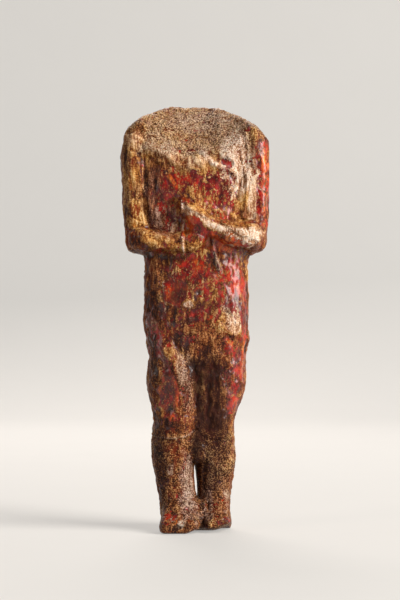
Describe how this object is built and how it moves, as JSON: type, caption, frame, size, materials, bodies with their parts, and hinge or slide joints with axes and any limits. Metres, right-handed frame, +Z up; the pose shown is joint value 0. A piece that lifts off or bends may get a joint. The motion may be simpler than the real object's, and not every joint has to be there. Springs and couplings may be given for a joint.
{
  "type": "carved amber figure",
  "caption": "Headless standing figure with folded arms, carved in deep red amber under flaking tan crust; stands on flat soles.",
  "frame": {"origin": "on the plane of the soles, in the middle of the body between the two feet", "axes": "+Z up through the neck, -Y the way the figure faces, +X towards its own left hand"},
  "size_m": [0.0421, 0.0234, 0.12],
  "materials": {
    "red_amber": "polished, translucent",
    "tan_crust": "weathered, dull",
    "cream_crust": "weathered, waxy",
    "grey_brown_crust": "weathered, granular"
  },
  "bodies": {
    "root": {"amber_body": "red_amber", "neck_break_crust": "grey_brown_crust", "collar_crust": "tan_crust", "left_breast_crust": "cream_crust", "right_arm_crust": "tan_crust", "right_forearm_crust": "tan_crust", "left_arm_crust": "tan_crust", "left_forearm_crust": "cream_crust", "belly_crust": "tan_crust", "right_flank_crust": "grey_brown_crust", "left_flank_crust": "tan_crust", "right_thigh_crust": "tan_crust", "left_thigh_crust": "grey_brown_crust", "right_shin_crust": "grey_brown_crust", "left_shin_crust": "grey_brown_crust", "upper_back_crust": "tan_crust", "lower_back_crust": "tan_crust"}
  },
  "joints": []
}
